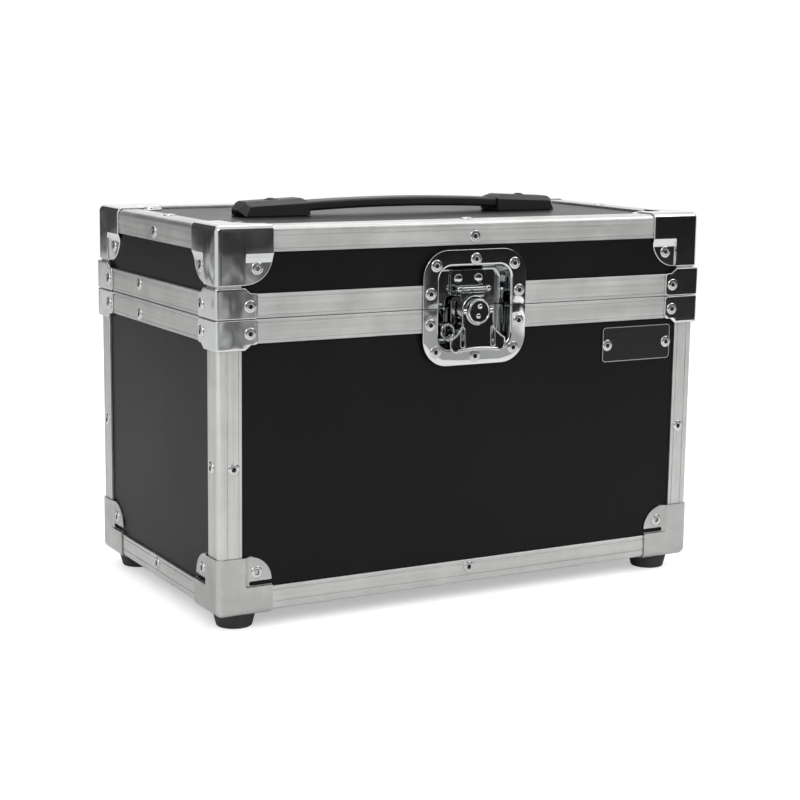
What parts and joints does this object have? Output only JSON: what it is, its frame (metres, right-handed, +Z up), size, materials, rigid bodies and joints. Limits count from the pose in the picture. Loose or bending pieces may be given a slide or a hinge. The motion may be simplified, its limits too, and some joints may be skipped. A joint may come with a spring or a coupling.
{
  "type": "microphone flight case",
  "caption": "Small hard case for microphones with a hinged lid, aluminium edge profiles, metal corners, a recessed twist latch, rubber feet and a strap handle.",
  "frame": {"origin": "centre of the base at floor level, under the middle of the bounding box", "axes": "+X to the right along the front, +Y from the front with the latch to the hinges at the back, +Z up"},
  "size_m": [0.403, 0.2416, 0.2894],
  "materials": {
    "black_laminate": "plywood faced with black semi-gloss laminate",
    "aluminium_profiles": "extruded, satin anodised, grooved",
    "chrome_plate": "bright nickel-chrome plate",
    "satin_steel": "satin zinc or nickel plate",
    "rubber_feet": "matt black",
    "handle_plastic": "black, finely grained",
    "foam": "open-cell charcoal foam"
  },
  "bodies": {
    "case body": {"body_front_panel": "black_laminate", "body_back_panel": "black_laminate", "body_left_panel": "black_laminate", "body_right_panel": "black_laminate", "body_bottom_panel": "black_laminate", "bottom_edge_frame": "aluminium_profiles", "body_rim": "aluminium_profiles", "corner_post_front_left": "aluminium_profiles", "bottom_cap_front_left": "satin_steel", "body_bracket_front_left": "chrome_plate", "foot_front_left": "rubber_feet", "corner_post_front_right": "aluminium_profiles", "bottom_cap_front_right": "satin_steel", "body_bracket_front_right": "chrome_plate", "foot_front_right": "rubber_feet", "corner_post_rear_left": "aluminium_profiles", "bottom_cap_rear_left": "satin_steel", "body_bracket_rear_left": "chrome_plate", "foot_rear_left": "rubber_feet", "corner_post_rear_right": "aluminium_profiles", "bottom_cap_rear_right": "satin_steel", "body_bracket_rear_right": "chrome_plate", "foot_rear_right": "rubber_feet", "latch_dish_lower": "chrome_plate", "latch_base_plate": "chrome_plate", "padlock_eye": "chrome_plate", "hinge_lower_leaf_left": "satin_steel", "hinge_pin_left": "satin_steel", "hinge_lower_leaf_right": "satin_steel", "hinge_pin_right": "satin_steel", "foam_floor_pad": "foam", "foam_block": "foam"},
    "lid": {"lid_top_panel": "black_laminate", "lid_front_panel": "black_laminate", "lid_back_panel": "black_laminate", "lid_left_panel": "black_laminate", "lid_right_panel": "black_laminate", "lid_edge_frame": "aluminium_profiles", "lid_rim": "aluminium_profiles", "top_cap_front_left": "chrome_plate", "lid_bracket_front_left": "chrome_plate", "top_cap_front_right": "chrome_plate", "lid_bracket_front_right": "chrome_plate", "top_cap_rear_left": "chrome_plate", "lid_bracket_rear_left": "chrome_plate", "top_cap_rear_right": "chrome_plate", "lid_bracket_rear_right": "chrome_plate", "latch_dish_upper": "chrome_plate", "latch_keeper": "chrome_plate", "hinge_upper_leaf_left": "satin_steel", "hinge_upper_leaf_right": "satin_steel", "handle_strap": "handle_plastic", "handle_cap_left": "handle_plastic", "handle_cap_right": "handle_plastic", "lid_foam_pad": "foam"},
    "latch hub": {"latch_hub": "chrome_plate", "latch_wing_pin": "chrome_plate"},
    "latch wing": {"latch_wing": "chrome_plate"},
    "latch hook": {"latch_hook": "chrome_plate"}
  },
  "joints": [
    {"name": "lid_hinge", "type": "hinge", "parent": "case body", "child": "lid", "pos_m": [0, 0.11745, 0.2168], "axis": [-1, 0, 0], "range_deg": [0, 105]},
    {"name": "latch_twist", "type": "hinge", "parent": "case body", "child": "latch hub", "pos_m": [-0.0015, -0.11235, 0.2147], "axis": [0, 1, 0], "range_deg": [0, 180]},
    {"name": "latch_handle_flip", "type": "hinge", "parent": "latch hub", "child": "latch wing", "pos_m": [-0.0015, -0.11755, 0.2147], "axis": [-1, 0, 0], "range_deg": [0, 90]},
    {"name": "latch_hook_lift", "type": "slide", "parent": "case body", "child": "latch hook", "axis": [0, 0, 1], "range_m": [0, 0.006]}
  ],
  "couplings": [
    {"joint": "latch_hook_lift", "follows": "latch_twist", "m_per_rad": 0.0019099}
  ]
}
